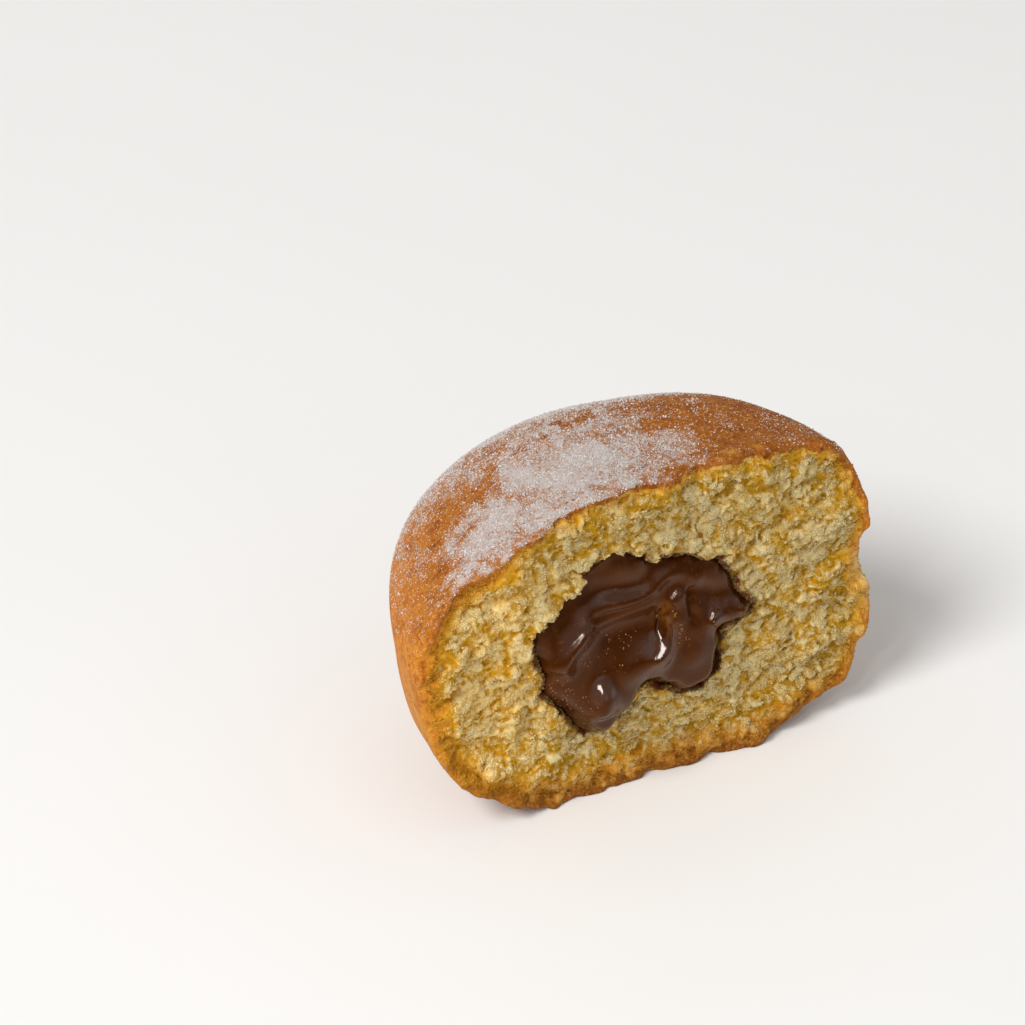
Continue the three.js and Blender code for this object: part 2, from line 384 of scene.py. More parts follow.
def crust_depth(points):
    """How deep points lie under the crust, as shares of the rim. Near the torn face the crust runs on
    straight to the front."""
    moved = points.copy()
    moved[:, 1] = np.maximum(moved[:, 1], WHOLE_CRUST_Y)
    return distances(CRUST, moved) / rim_share(points[:, 2])


def rim_depth_map(field):
    """Crust depth on the torn face's plane, over the field's own X and Z."""
    xs, zs = field.axis(0)[::2], field.axis(2)[::2]
    grid = np.stack(np.meshgrid(xs, [WHOLE_CRUST_Y], zs, indexing="ij"), -1).reshape(-1, 3)
    coarse = (distances(CRUST, grid) / rim_share(grid[:, 2])).reshape(len(xs), len(zs))
    full = coarse.repeat(2, axis=0).repeat(2, axis=1)
    return full[:field.shape[0], :field.shape[2]]


def add_clumps(field, near, points, amount):
    """Cuts creases and cells into the torn face, and nothing stands up beside the filling."""
    bend = np.stack([gradient_noise(points, 1.8, 30 + i) for i in range(3)], -1)
    bent = points + 0.45 * bend
    cut = np.zeros(len(points), np.float32)
    for seed, (pitch, depth) in enumerate(CRUMB_CLUMPS):
        cut += depth * (0.3 - np.abs(gradient_noise(bent, pitch, 20 + seed)))
    for seed, (pitch, depth) in enumerate(CRUMB_CELLS):
        cut += depth * (np.abs(gradient_noise(bent, pitch, 26 + seed)) - 0.3)
    beside = smoothstep(1.4, 0.5, distances(FILLING, points))
    cut = np.where(cut < 0, cut * (1 - beside), cut)
    field.values[near] += (amount * cut).astype(np.float32)


def add_lumps(field):
    """Joins round lumps to the crumb where it hangs over the chocolate."""
    for x, z, radius in CRUMB_LUMPS:
        axes = (field.axis(0) - x, field.axis(1) - CUT_Y, field.axis(2) - z)
        across, back, up = np.meshgrid(*axes, indexing="ij", sparse=True)
        ball = np.sqrt(across ** 2 + back ** 2 + up ** 2) - radius
        field.values = np.minimum(field.values, ball.astype(np.float32))


def grow_rim(field, near, fade, depth):
    """Gives the crust's torn edge back what smoothing took from it."""
    field.values[near] -= (RIM_GROWTH * fade * smoothstep(1.6, 0.3, depth)).astype(np.float32)


def add_pores(field, tear_points, amounts, rng):
    """Opens round and drawn-out pores in the torn face."""
    chosen = rng.choice(len(tear_points), PORE_COUNT, p=amounts / amounts.sum())
    radii = PORE_RADIUS[0] + (PORE_RADIUS[1] - PORE_RADIUS[0]) * rng.random(PORE_COUNT) ** 2.2
    stretch = rng.uniform(0.6, 1.7, (PORE_COUNT, 3))
    for centre, radius, shape in zip(tear_points[chosen], radii, stretch):
        reach = radius * shape + 2 * field.step
        low = np.maximum(((centre - reach - field.low) / field.step).astype(int), 0)
        high = np.minimum(((centre + reach - field.low) / field.step).astype(int) + 2, field.shape)
        block = tuple(slice(a, b) for a, b in zip(low, high))
        offsets = np.meshgrid(*[field.axis(i)[block[i]] - centre[i] for i in range(3)], indexing="ij")
        away = np.sqrt(sum((o / s) ** 2 for o, s in zip(offsets, shape)))
        hole = radius - away
        solid = field.values[block]
        blend = np.clip(0.5 + 0.5 * (hole - solid) / PORE_SOFTNESS, 0, 1)
        softened = solid + (hole - solid) * blend + PORE_SOFTNESS * blend * (1 - blend)
        field.values[block] = np.maximum(solid, softened)


def make_dough():
    """Crust and crumb in one mesh: the smooth crust of the solid, with its torn face opened into crumb."""
    rng = np.random.default_rng(DOUGH_SEED)
    margin = 1.5
    field = Field(dough_points.min(axis=0) - margin, dough_points.max(axis=0) + margin, DOUGH_STEP)
    field.fill(dough_points, dough_triangles, DOUGH_BAND)
    add_lumps(field)
    ys = field.axis(1)
    torn = smoothstep(CUT_Y + 4.5, CUT_Y + 2.0, ys)[None, :, None].astype(np.float32)
    smooth = field.blurred(CRUST_SMOOTH)
    smooth.values += torn * (field.blurred(TORN_SMOOTH).values - smooth.values)
    field.values = smooth.values.copy()

    depth_map = rim_depth_map(field)
    front = ys < CUT_Y + TORN_DEPTH
    near = np.abs(field.values) < CRUMB_REACH
    near[:, ~front, :] = False
    near = np.nonzero(near)
    points = np.stack([field.axis(i)[near[i]] for i in range(3)], -1)
    depth = depth_map[near[0], near[2]]
    fade = smoothstep(CUT_Y + TORN_DEPTH, CUT_Y + 1.0, points[:, 1])
    amount = fade * smoothstep(*RIM_SOUND, depth)
    grow_rim(field, near, fade, depth)
    add_clumps(field, near, points, amount)

    on_tear = np.abs(smooth.values[near]) < 0.2
    add_pores(field, points[on_tear], amount[on_tear] + 1e-6, rng)

    points, faces = field.mesh()
    points[:, 2] = np.maximum(points[:, 2], 0.0)
    piece = thinned(new_object("dough_torn", points, faces), DOUGH_TRIANGLES)
    return piece, smooth


def line_distance(line, places):
    """Distance of each place from a line in two dimensions, how far along the line it is nearest, and
    its side of the line, from -1 on the right to 1 on the left."""
    nearest = np.full(places.shape[:-1], 1e3)
    share = np.zeros(places.shape[:-1])
    side = np.zeros(places.shape[:-1])
    for i, (start, end) in enumerate(zip(line[:-1], line[1:])):
        offset, along = places - np.array(start), np.array(end) - np.array(start)
        t = np.clip((offset @ along) / (along @ along), 0, 1)
        away = np.linalg.norm(offset - t[..., None] * along, axis=-1)
        turn = (along[0] * offset[..., 1] - along[1] * offset[..., 0]) / np.linalg.norm(along)
        closer = away < nearest
        share = np.where(closer, (i + t) / (len(line) - 1), share)
        side = np.where(closer, turn / (away + 1e-6), side)
        nearest = np.minimum(nearest, away)
    return nearest, share, side


def smooth_line(line, count=6):
    """A curve through all points of a line, with count pieces from each to the next."""
    points = np.array([line[0]] + list(line) + [line[-1]], float)
    curve = []
    for before, start, end, after in zip(points[:-3], points[1:-2], points[2:-1], points[3:]):
        for t in np.arange(count) / count:
            leaning = (end - before) * t + (2 * before - 5 * start + 4 * end - after) * t ** 2
            curve.append(start + 0.5 * (leaning + (3 * start - before - 3 * end + after) * t ** 3))
    return curve + [points[-1]]


def inward_distance(outline, places):
    """Distance of each place from a closed outline, positive inside it."""
    closed = outline + outline[:1]
    inside = np.zeros(len(places), bool)
    for (ax, ay), (bx, by) in zip(closed[:-1], closed[1:]):
        spans = (ay > places[:, 1]) != (by > places[:, 1])
        crossing = ax + (bx - ax) * (places[:, 1] - ay) / (by - ay)
        inside ^= spans & (places[:, 0] < crossing)
    return np.where(inside, 1, -1) * line_distance(closed, places)[0]


def dust_amount(points, normals, depth):
    """How thickly sugar lies: a white drift with gaps on the top, and a thin dusting round it."""
    x, y, z = points.T
    patchy = 0.55 * gradient_noise(points, 4.5, 40) + 0.75 * gradient_noise(points, 1.9, 41)
    patchy += 0.75 * gradient_noise(points, 0.9, 42)
    drift = smoothstep(-1.8, 2.6, inward_distance(SUGAR_DRIFT, points[:, :2]) + 1.9 * patchy)
    for gap_x, gap_y in SUGAR_GAPS:
        drift *= 1 - 0.6 * np.exp(-((x - gap_x) ** 2 + (y - gap_y) ** 2) / SUGAR_GAP_REACH ** 2)
    drift *= 1 - 0.4 * smoothstep(-7.0, 5.0, x)
    core = np.exp(-((x + 7.0) / 8.0) ** 4 - ((y + 9.5) / 5.0) ** 4)
    behind = smoothstep(0.0, 10.0, y)
    left = smoothstep(2.0, -14.0, x)
    top = smoothstep(0.0, 0.5, normals[:, 2]) * smoothstep(9.0, 17.0, z)
    amount = 0.08 + 0.02 * left + 0.42 * drift + 0.16 * core * drift + 0.3 * behind * (1 - drift)
    amount += patchy * (0.13 + 0.37 * drift + 0.15 * behind)
    return top * np.clip(amount, 0, 1) * smoothstep(0.7, 0.25, depth)


def finish_dough(piece, smooth):
    """Stores what the dough's material reads: crust depth, pits for their painted shade, sugar, and
    nearness to the chocolate for its smear and the painted shade beside it.
    """
    points, normals = points_of(piece), normals_of(piece)
    depth = crust_depth(points)
    pit = -smooth.at(points)
    dust = dust_amount(points, normals, depth)
    store(piece, "depth", depth)
    store(piece, "pit", pit)
    store(piece, "dust", dust)
    store(piece, "loose", np.zeros(len(points)))
    store(piece, "stain_and_shade", smoothstep(2.1, 0.6, distances(FILLING, points)))
    return depth, pit, dust


def blurred_map(values, step, sigma):
    """A map over X and Z, smoothed by a Gaussian."""
    layer = Field((0.0, 0.0, 0.0), (0.0, 0.0, 0.0), step)
    layer.shape = (values.shape[0], 1, values.shape[1])
    layer.values = values.reshape(layer.shape).astype(np.float32)
    return layer.blurred(sigma).values[:, 0, :]


def front_map(field):
    """Y of the filling's front over the field's X and Z, smoothed, and run on level past its outline."""
    xs, zs = field.axis(0), field.axis(2)
    front = np.zeros((len(xs), len(zs)))
    known = np.full(front.shape, 1e-4)
    for i, x in enumerate(xs):
        for k, z in enumerate(zs):
            hit = FILLING.ray_cast((x, -60.0, z), (0.0, 1.0, 0.0))[0]
            if hit is not None and hit.y < CUT_Y + 2.6:
                front[i, k] = hit.y - CUT_Y
                known[i, k] = 1.0
    level = blurred_map(front, field.step, FILLING_SMOOTH) / blurred_map(known, field.step, FILLING_SMOOTH)
    return level + CUT_Y


def make_filling():
    """The chocolate: the solid's front with its facets smoothed and its ridges drawn thinner."""
    margin = 1.6
    field = Field(filling_low - margin, filling_high + margin, FILLING_STEP)
    field.fill(filling_points, filling_triangles, FILLING_BAND)
    xs, ys, zs = (field.axis(i) for i in range(3))

    front = front_map(field)
    places = np.stack(np.meshgrid(xs, zs, indexing="ij"), -1)
    for height, left, right, line in FOLDS:
        away, share, side = line_distance(smooth_line(line), places)
        width = right + (left - right) * smoothstep(-0.6, 0.6, side)
        taper = smoothstep(-0.1, 0.3, share) * smoothstep(1.1, 0.7, share)
        front -= height * taper * np.exp(-(away / width) ** 2)

    grid = np.stack(np.meshgrid(xs, [CUT_Y], zs, indexing="ij"), -1).reshape(-1, 3)
    jag = sum(depth * gradient_noise(grid, pitch, 50 + i) for i, (pitch, depth) in enumerate(JAGS))
    outline = field.values.min(axis=1) - FILLING_REACH + jag.reshape(len(xs), len(zs))
    mouth = np.where(ys[None, :, None] < CUT_Y + 1.0, outline[:, None, :], 10.0)
    body = np.minimum(mouth, field.values - FILLING_REACH)
    face = 0.8 * (front[:, None, :] - ys[None, :, None])
    blend = np.clip(1 - np.abs(face - body) / FILLING_ROUND, 0, 1)
    field.values = (np.maximum(face, body) + 0.25 * FILLING_ROUND * blend ** 2).astype(np.float32)
    piece = thinned(new_object("filling_cream", *field.mesh()), FILLING_TRIANGLES)

    cells = np.rint((points_of(piece) - field.low) / field.step).astype(int)
    cells = np.clip(cells, 0, np.array(field.shape) - 1)
    leaning = np.gradient(blurred_map(CUT_Y - front, field.step, SHEEN_BLUR), field.step, axis=1)
    away, share, side = line_distance(smooth_line(FILM), places)
    film = np.exp(-(away / FILM_WIDTH) ** 4)
    store(piece, "leaning", leaning[cells[:, 0], cells[:, 2]])
    store(piece, "film", film[cells[:, 0], cells[:, 2]])
    store(piece, "speck", np.zeros(len(cells)))
    return piece


def scatter(rng, piece, amounts, count):
    """Random places on a piece, more of them where the amounts at its points are higher."""
    mesh = piece.data
    mesh.calc_loop_triangles()
    triangles = np.empty(len(mesh.loop_triangles) * 3, np.int32)
    mesh.loop_triangles.foreach_get("vertices", triangles)
    triangles = triangles.reshape(-1, 3)
    corners = points_of(piece)[triangles]
    facing = np.cross(corners[:, 1] - corners[:, 0], corners[:, 2] - corners[:, 0])
    area = np.linalg.norm(facing, axis=1)
    weights = area * amounts[triangles].mean(axis=1)
    chosen = rng.choice(len(triangles), count, p=weights / weights.sum())
    shares = rng.dirichlet((1.0, 1.0, 1.0), count)
    places = (corners[chosen] * shares[:, :, None]).sum(axis=1)
    return places, facing[chosen] / area[chosen][:, None]


def random_turns(rng, count):
    """Rotation matrices in all directions."""
    w, x, y, z = rng.normal(size=(4, count))
    length = np.sqrt(w * w + x * x + y * y + z * z)
    w, x, y, z = w / length, x / length, y / length, z / length
    rows = [
        [1 - 2 * (y * y + z * z), 2 * (x * y - z * w), 2 * (x * z + y * w)],
        [2 * (x * y + z * w), 1 - 2 * (x * x + z * z), 2 * (y * z - x * w)],
        [2 * (x * z - y * w), 2 * (y * z + x * w), 1 - 2 * (x * x + y * y)],
    ]
    return np.array(rows).transpose(2, 0, 1)


def make_grains(name, rng, ground, amounts, count, size, corners, faces, rise, clump=0.0):
    """Grains of one kind in one mesh, each turned and stretched at random and partly sunk in the ground.
    With a clump size they gather in small heaps with gaps between."""
    places, facing = scatter(rng, ground, amounts, 2 * count if clump else count)
    if clump:
        gathered = gradient_noise(places, clump, 60) + rng.normal(0.0, 0.35, len(places))
        kept = np.sort(np.argsort(gathered)[-count:])
        places, facing = places[kept], facing[kept]
    sizes = size[0] + (size[1] - size[0]) * rng.random(count) ** 1.6
    stretch = rng.uniform(0.7, 1.3, (count, len(corners), 3))
    shapes = np.einsum("nij,nkj->nki", random_turns(rng, count), corners[None] * stretch)
    centres = places + facing * (rise * sizes)[:, None]
    points = centres[:, None, :] + 0.5 * sizes[:, None, None] * shapes
    all_faces = faces[None] + len(corners) * np.arange(count)[:, None, None]
    piece = new_object(name, points.reshape(-1, 3), all_faces.reshape(-1, faces.shape[1]))
    piece.data.polygons.foreach_set("use_smooth", np.zeros(len(piece.data.polygons), bool))
    store(piece, "shade", rng.random(count).repeat(len(corners)))
    return piece, centres


def make_crumbs(rng, dough, smooth, pit, depth):
    """Loose crumbs that stand on the clumps of the torn face, with what the dough's material reads."""
    points = points_of(dough)
    torn = smoothstep(CUT_Y + 3.0, CUT_Y + 1.5, points[:, 1]) * smoothstep(0.15, 0.8, depth)
    raised = torn * (0.22 + smoothstep(0.30, -0.15, pit))
    piece, centres = make_grains("dough_crumbs", rng, dough, raised, CRUMB_GRAINS, CRUMB_GRAIN_SIZE,
                                 OCTA_CORNERS, OCTA_FACES, 0.05, 0.7)
    piece.data.polygons.foreach_set("use_smooth", np.ones(len(piece.data.polygons), bool))
    sides = len(OCTA_CORNERS)
    lifted = -smooth.at(centres) + rng.uniform(-0.3, 0.15, len(centres))
    store(piece, "depth", crust_depth(centres).repeat(sides))
    store(piece, "pit", lifted.repeat(sides))
    store(piece, "dust", np.zeros(len(centres) * sides))
    store(piece, "loose", np.ones(len(centres) * sides))
    store(piece, "stain_and_shade", smoothstep(2.1, 0.6, distances(FILLING, centres)).repeat(sides))
    return piece


def make_bubbles(rng, cream):
    """Small bubbles that stand in swarms out of the front of the chocolate, and in thin lines of beads;
    their pale colour is painted highlight.
    """
    x, y, z = points_of(cream).T
    swarm = np.zeros(len(x))
    for middle_x, middle_z in BUBBLE_SWARMS:
        swarm += np.exp(-((x - middle_x) ** 2 + (z - middle_z) ** 2) / BUBBLE_SPREAD ** 2)
    for line in BEAD_LINES:
        away = line_distance(smooth_line(line), np.stack([x, z], -1))[0]
        swarm += BEAD_WEIGHT * np.exp(-(away / BEAD_WIDTH) ** 2)
    swarm *= y < CUT_Y + 0.5
    piece = make_grains(
        "filling_bubbles", rng, cream, swarm, BUBBLE_COUNT, BUBBLE_SIZE, BALL_CORNERS, BALL_FACES, -0.1)[0]
    store(piece, "leaning", np.full(len(piece.data.vertices), 0.1))
    store(piece, "film", np.zeros(len(piece.data.vertices)))
    store(piece, "speck", np.ones(len(piece.data.vertices)))
    return piece


class Shader:
    """A material's node tree, with short ways to add to it."""

    def __init__(self, name):
        self.material = bpy.data.materials.new(name)
        self.material.use_nodes = True
        self.tree = self.material.node_tree
        self.tree.nodes.clear()

    def node(self, kind, inputs, **settings):
        made = self.tree.nodes.new("ShaderNode" + kind)
        for key, value in settings.items():
            setattr(made, key, value)
        for key, value in inputs.items():
            if isinstance(value, bpy.types.NodeSocket):
                self.tree.links.new(value, made.inputs[key])
            else:
                made.inputs[key].default_value = value
        return made

    def place(self):
        """The place on the object in millimetres."""
        spot = self.node("TexCoord", {}).outputs["Object"]
        return self.node("VectorMath", {0: spot, "Scale": 1 / MM}, operation="SCALE").outputs[0]

    def along(self, axis):
        """The place along one axis in millimetres."""
        return self.node("SeparateXYZ", {0: self.place()}).outputs[axis]

    def stored(self, name):
        return self.node("Attribute", {}, attribute_name=name).outputs["Fac"]

    def noise(self, pitch, detail=2.0, roughness=0.5):
        inputs = {"Vector": self.place(), "Scale": 1.0 / pitch, "Detail": detail, "Roughness": roughness}
        return self.node("TexNoise", inputs).outputs["Fac"]

    def maths(self, operation, first, second=0.0, third=0.0):
        return self.node("Math", {0: first, 1: second, 2: third}, operation=operation).outputs[0]

    def step(self, value, low, high):
        """0 below low and 1 above high, or the other way round, eased between them."""
        inputs = {"Value": value, "From Min": low, "From Max": high}
        return self.node("MapRange", inputs, interpolation_type="SMOOTHSTEP").outputs["Result"]

    def mix(self, share, first, second, blend="MIX"):
        made = self.node("Mix", {}, data_type="RGBA", blend_type=blend)
        for index, value in ((0, share), (6, first), (7, second)):
            if isinstance(value, bpy.types.NodeSocket):
                self.tree.links.new(value, made.inputs[index])
            else:
                made.inputs[index].default_value = value
        return made.outputs[2]

    def ramp(self, value, stops):
        made = self.node("ValToRGB", {"Fac": value})
        elements = made.color_ramp.elements
        while len(elements) < len(stops):
            elements.new(0.5)
        for element, (position, colour) in zip(elements, stops):
            element.position = position
            element.color = colour
        return made.outputs["Color"]

    def bump(self, height, distance, strength, under=None):
        inputs = {"Height": height, "Distance": distance * MM, "Strength": strength}
        if under is not None:
            inputs["Normal"] = under
        return self.node("Bump", inputs).outputs["Normal"]

    def surface(self, inputs):
        shader = self.node("BsdfPrincipled", inputs)
        self.node("OutputMaterial", {"Surface": shader.outputs[0]})
        return self.material


def rgb(red, green, blue):
    return (red, green, blue, 1.0)


# Crust colours from the base up: fried brown, golden, the pale band round the middle, and brown again
CRUST_HEIGHTS = [
    (0.00, rgb(0.25, 0.085, 0.008)),
    (0.10, rgb(0.36, 0.135, 0.011)),
    (0.20, rgb(0.50, 0.200, 0.014)),
    (0.34, rgb(0.60, 0.240, 0.020)),
    (0.46, rgb(0.64, 0.255, 0.024)),
    (0.62, rgb(0.60, 0.210, 0.017)),
    (0.80, rgb(0.43, 0.140, 0.014)),
    (1.00, rgb(0.33, 0.102, 0.013)),
]


def crumb_colour(s, depth, pit, stain_and_shade):
    """Pale cream clumps, golden near the crust, and painted shade: darker golden in the deeper pits,
    lighter towards the left where the light falls, and dark by the chocolate, partly a smear.
    """
    patch = s.maths("SUBTRACT", s.noise(0.55, 4.0, 0.65), 0.5)
    grain = s.noise(0.36, 3.0, 0.65)
    pale = s.mix(s.step(s.noise(3.2, 3.0), 0.35, 0.7), rgb(0.63, 0.458, 0.170), rgb(0.66, 0.535, 0.265))
    pale = s.mix(s.maths("MULTIPLY", s.step(grain, 0.45, 0.7), 0.6), pale, rgb(0.73, 0.655, 0.46))
    outer = s.maths("MULTIPLY", s.step(depth, 7.0, 1.5), 0.10)
    # Painted shade: the deeper a place lies in its pit, the more it takes the darker golden colour; the
    # patch noise mixes in random tone, and nearness to the crust adds real golden.
    deep = s.maths("ADD", s.maths("MULTIPLY_ADD", patch, 0.9, pit), outer)
    mottle = s.step(s.noise(0.45, 3.0, 0.65), 0.38, 0.62)
    golden = s.mix(mottle, rgb(0.42, 0.205, 0.003), rgb(0.52, 0.288, 0.016))
    crumb = s.mix(s.step(deep, -0.12, 0.30), pale, golden)
    # Painted light: the crumb is made lighter towards the left, where the light falls.
    across = s.along("X")
    painted_light_left = s.mix(1.0, crumb, rgb(1.30, 1.25, 1.14), "MULTIPLY")
    crumb = s.mix(s.step(across, -9.0, -21.0), crumb, painted_light_left)
    # Partly a chocolate smear and partly painted shade: near the chocolate the crumb turns dark brown in
    # patches, and at the edge dark olive and maroon, the olive standing for the shaded gap.
    smear_and_shade = s.maths("MULTIPLY", s.step(stain_and_shade, 0.35, 0.9), s.step(s.noise(1.5, 4.0, 0.6), 0.46, 0.6))
    crumb = s.mix(smear_and_shade, crumb, rgb(0.13, 0.03, 0.008))
    edge = s.step(s.maths("MULTIPLY_ADD", s.noise(0.8, 3.0), 0.3, stain_and_shade), 0.95, 1.15)
    smear_and_gap_shade = s.mix(s.step(s.noise(1.2, 3.0), 0.42, 0.56), rgb(0.11, 0.055, 0.010), rgb(0.085, 0.018, 0.008))
    return s.mix(s.maths("MULTIPLY", edge, 0.85), crumb, smear_and_gap_shade)


def crust_colour(s, height):
    """Fried brown at base and top, golden between, a pale band on the right, and mottling all over."""
    crust = s.ramp(s.maths("MULTIPLY", height, 1 / HEIGHT), CRUST_HEIGHTS)
    across = s.along("X")
    band = s.maths("MULTIPLY", s.step(height, 12.0, 17.0), s.step(height, 26.0, 21.0))
    band = s.maths("MULTIPLY", band, s.step(across, -12.0, 22.0))
    crust = s.mix(s.maths("MULTIPLY", band, 0.85), crust, rgb(0.64, 0.44, 0.15))
    darker = s.mix(1.0, crust, rgb(0.68, 0.54, 0.38), "MULTIPLY")
    crust = s.mix(s.step(s.noise(2.4, 4.0, 0.6), 0.42, 0.74), crust, darker)
    speck = s.noise(0.42, 3.0, 0.7)
    browner = s.mix(1.0, crust, rgb(0.58, 0.44, 0.28), "MULTIPLY")
    crust = s.mix(s.step(speck, 0.52, 0.68), crust, browner)
    paler = s.mix(0.45, crust, rgb(0.80, 0.48, 0.15))
    return s.mix(s.step(speck, 0.46, 0.3), crust, paler)


def dough_material():
    """Crumb inside, a golden layer under the crust, and the crust with its mottling and sugar dust."""
    s = Shader("dough_looks")
    depth, pit, dust, stain_and_shade = (s.stored(name) for name in ("depth", "pit", "dust", "stain_and_shade"))
    height = s.along("Z")
    crumb = crumb_colour(s, depth, pit, stain_and_shade)
    crust = crust_colour(s, height)

    thick = s.step(height, 9.0, 2.0)
    ragged = s.maths("SUBTRACT", s.noise(1.6, 4.0, 0.6), 0.5)
    ragged = s.maths("MULTIPLY", ragged, s.step(depth, 0.05, 0.45))
    under = s.maths("MULTIPLY_ADD", ragged, 4.0, depth)
    under = s.maths("MULTIPLY_ADD", s.step(height, 19.0, 28.0), 0.25, under)
    across = s.along("X")
    under = s.maths("MULTIPLY_ADD", s.step(across, -14.0, -22.0), -1.1, under)
    inner = s.mix(thick, rgb(0.74, 0.375, 0.028), rgb(0.60, 0.260, 0.018))
    golden = s.mix(0.6, inner, crust)
    body = s.mix(s.maths("MULTIPLY", s.step(under, 2.8, 0.9), 0.8), crumb, inner)
    body = s.mix(s.step(under, 1.4, 0.5), body, golden)
    body = s.mix(s.step(s.maths("MULTIPLY_ADD", ragged, 3.4, depth), 1.0, 0.2), body, crust)

    veil = s.maths("MULTIPLY_ADD", dust, 0.9, s.noise(0.24, 3.0, 0.7))
    veil = s.maths("MULTIPLY", s.step(veil, 0.5, 0.8), 0.26)
    body = s.mix(s.maths("MULTIPLY", veil, s.step(dust, 0.06, 0.25)), body, rgb(0.56, 0.40, 0.32))
    fleck = s.noise(0.30, 3.0, 0.75)
    white = s.step(s.maths("MULTIPLY_ADD", dust, 0.75, fleck), 0.74, 1.12)
    body = s.mix(s.maths("MULTIPLY", white, 0.8), body, rgb(0.60, 0.52, 0.48))

    inside = s.step(depth, 0.3, 0.9)
    strength = s.maths("MULTIPLY_ADD", inside, -0.25, 0.45)
    coarse = s.bump(s.noise(0.9, 3.0, 0.6), 0.14, strength)
    fine = s.bump(s.noise(0.30, 3.0, 0.7), 0.07, strength, coarse)
    glow = s.maths("MULTIPLY", inside, s.maths("MULTIPLY_ADD", s.stored("loose"), -0.95, 1.0))
    return s.surface({
        "Base Color": body,
        "Normal": fine,
        "Roughness": s.maths("MULTIPLY_ADD", inside, 0.25, 0.6),
        "Specular IOR Level": s.maths("MULTIPLY_ADD", inside, -0.08, 0.12),
        "Subsurface Weight": s.maths("MULTIPLY_ADD", glow, 0.8, 0.08),
        "Subsurface Radius": (1.0, 0.88, 0.65),
        "Subsurface Scale": 0.8 * MM,
    })


def cream_material():
    """Glossy chocolate cream with painted reflection in its colour: dark and warm where it leans back,
    milky where it leans over and lighter low down, as if reflecting the floor, and orange in the film."""
    s = Shader("cream_looks")
    uneven = s.maths("SUBTRACT", s.noise(2.5, 3.0), 0.5)
    leaning = s.stored("leaning")
    # Painted reflection: where the front leans over the colour turns milky, where it leans back it stays
    # dark.
    over = s.step(s.maths("MULTIPLY_ADD", uneven, 0.5, leaning), -0.45, 0.15)
    # Painted reflection: the lower part is lighter, as if reflecting the floor.
    low = s.step(s.along("Z"), 19.0, 14.5)
    brown = s.mix(over, rgb(0.043, 0.0095, 0.0004), rgb(0.072, 0.0195, 0.003))
    brown = s.mix(low, brown, rgb(0.066, 0.020, 0.006))
    brown = s.mix(s.step(s.noise(0.5, 3.0, 0.6), 0.55, 0.75), brown, rgb(0.095, 0.025, 0.002))
    streaky = s.step(s.noise(0.7, 3.0), 0.3, 0.65)
    brown = s.mix(s.maths("MULTIPLY", s.stored("film"), streaky), brown, rgb(0.125, 0.036, 0.002))
    # Painted highlight: bubbles and beads take a pale colour, standing in for small glints.
    brown = s.mix(s.maths("MULTIPLY", s.stored("speck"), 0.7), brown, rgb(0.30, 0.16, 0.09))
    skin = s.bump(s.noise(0.9, 3.0, 0.6), 0.06, 0.3)
    skin = s.bump(s.noise(0.22, 2.0, 0.6), 0.02, 0.3, skin)
    gloss = s.maths("MULTIPLY_ADD", over, 0.20, 0.09)
    steep = s.step(leaning, -0.35, -0.7)
    gloss = s.maths("MULTIPLY_ADD", steep, 0.5, gloss)
    tint = s.mix(steep, rgb(1.0, 0.56, 0.34), rgb(1.0, 0.92, 0.88))
    rough = s.maths("MULTIPLY_ADD", s.noise(1.7, 2.0), 0.12, 0.14)
    rough = s.maths("MULTIPLY_ADD", steep, -0.09, rough)
    return s.surface({
        "Base Color": brown, "Roughness": rough,
        "Normal": skin, "Specular IOR Level": gloss, "Specular Tint": tint,
        "Subsurface Weight": 0.08, "Subsurface Radius": (1.0, 0.35, 0.1), "Subsurface Scale": 0.8 * MM,
    })


def sugar_material():
    """Sugar: off-white, each grain its own shade."""
    s = Shader("sugar_looks")
    tone = s.mix(s.stored("shade"), rgb(0.46, 0.40, 0.37), rgb(0.72, 0.67, 0.65))
    tone = s.mix(s.maths("MULTIPLY", s.step(s.noise(0.6, 2.0), 0.4, 0.7), 0.3), tone, rgb(0.78, 0.75, 0.74))
    return s.surface({
        "Base Color": tone, "Roughness": 0.42, "Specular IOR Level": 0.5,
        "Subsurface Weight": 0.2, "Subsurface Radius": (1.0, 0.9, 0.8), "Subsurface Scale": 0.15 * MM,
    })


def floor_material():
    s = Shader("floor_looks")
    tone = s.mix(s.noise(60.0, 2.0), rgb(0.89, 0.89, 0.89), rgb(0.91, 0.91, 0.91))
    return s.surface({"Base Color": tone, "Roughness": 0.8})


def make_floor():
    square = [(-1, -1), (1, -1), (1, 1), (-1, 1)]
    corners = np.array([(FLOOR_SIDE * x, FLOOR_SIDE * y, FLOOR_Z) for x, y in square])
    floor = new_object("floor", corners, np.array([(0, 1, 2, 3)]))
    floor.data.materials.append(floor_material())


def add_light(name, place, long, wide, watts, colour, along):
    """A soft light at a place in millimetres, turned to the doughnut, with its long side one way."""
    lamp = bpy.data.lights.new(name, "AREA")
    lamp.shape = "ELLIPSE"
    lamp.size = long * MM
    lamp.size_y = wide * MM
    lamp.energy = watts
    lamp.color = colour
    holder = bpy.data.objects.new(name, lamp)
    holder.location = Vector(place) * MM
    back = (Vector(place) - TARGET).normalized()
    upright = back.cross(Vector(along)).normalized()
    holder.rotation_euler = Matrix((upright.cross(back), upright, back)).transposed().to_euler()
    bpy.context.scene.collection.objects.link(holder)


def light_room():
    world = bpy.data.worlds.new("room")
    world.use_nodes = True
    background = world.node_tree.nodes["Background"]
    background.inputs["Color"].default_value = ROOM_COLOUR
    background.inputs["Strength"].default_value = ROOM_STRENGTH
    bpy.context.scene.world = world
    for light in LIGHTS:
        add_light(**light)
    bpy.context.scene.view_settings.view_transform = "Standard"


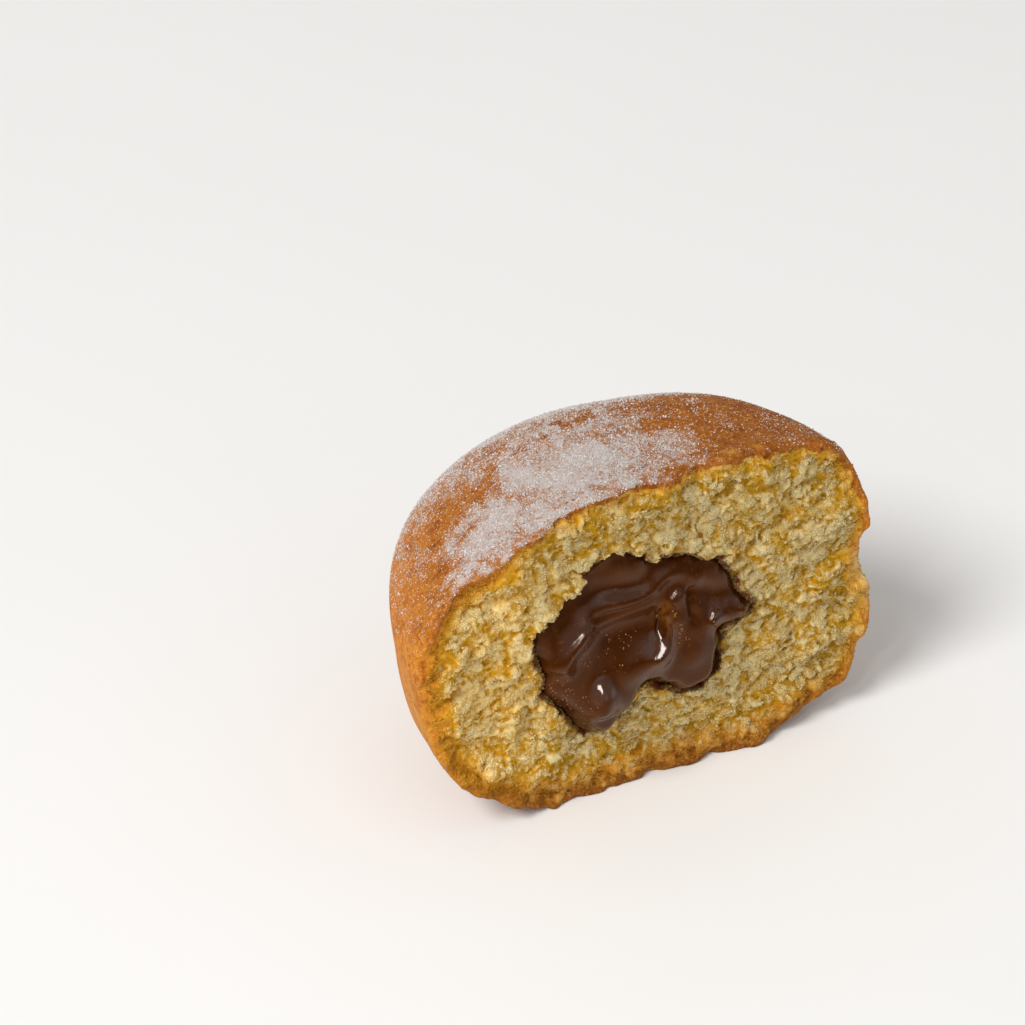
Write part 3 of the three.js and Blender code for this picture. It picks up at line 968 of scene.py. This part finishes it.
def place_camera():
    azimuth, elevation = math.radians(VIEW_AZIMUTH), math.radians(VIEW_ELEVATION)
    back = Vector((math.sin(azimuth) * math.cos(elevation), -math.cos(azimuth) * math.cos(elevation),
                   math.sin(elevation)))
    right = Vector((math.cos(azimuth), math.sin(azimuth), 0.0))
    up = back.cross(right)
    middle = PICTURE / 2
    aim = TARGET - right * ((TARGET_PIXEL[0] - middle) / PIXELS_PER_MM)
    aim = aim + up * ((TARGET_PIXEL[1] - middle) / PIXELS_PER_MM)
    lens = bpy.data.cameras.new("camera")
    lens.sensor_width = SENSOR
    lens.lens = SENSOR * PIXELS_PER_MM * VIEW_DISTANCE / PICTURE
    lens.clip_start = 0.01
    camera = bpy.data.objects.new("camera", lens)
    camera.location = (aim + back * VIEW_DISTANCE) * MM
    camera.rotation_euler = back.to_track_quat("Z", "Y").to_euler()
    bpy.context.scene.collection.objects.link(camera)
    bpy.context.scene.camera = camera


def finish_piece(piece, material, node):
    piece.data.materials.clear()
    piece.data.materials.append(material)
    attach(piece, "root")
    if node:
        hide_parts(node)


dough, dough_smooth = make_dough()
depth, pit, dust = finish_dough(dough, dough_smooth)
cream = make_filling()
grain_rng = np.random.default_rng(GRAIN_SEED)
crumbs = make_crumbs(grain_rng, dough, dough_smooth, pit, depth)
bubbles = make_bubbles(grain_rng, cream)
powder = make_grains(
    "sugar_powder", grain_rng, dough, dust ** 1.4, DUST_GRAINS, DUST_SIZE, TETRA_CORNERS, TETRA_FACES, 0.2,
    0.5)[0]
crystals = make_grains(
    "sugar_crystals", grain_rng, dough, dust ** 2.0, CRYSTAL_GRAINS, CRYSTAL_SIZE, BOX_CORNERS, BOX_FACES,
    0.2, 0.7)[0]

baked = dough_material()
finish_piece(dough, baked, "dough")
finish_piece(crumbs, baked, None)
chocolate = cream_material()
finish_piece(cream, chocolate, "filling")
finish_piece(bubbles, chocolate, None)
sugar = sugar_material()
finish_piece(powder, sugar, None)
finish_piece(crystals, sugar, None)

make_floor()
light_room()
place_camera()
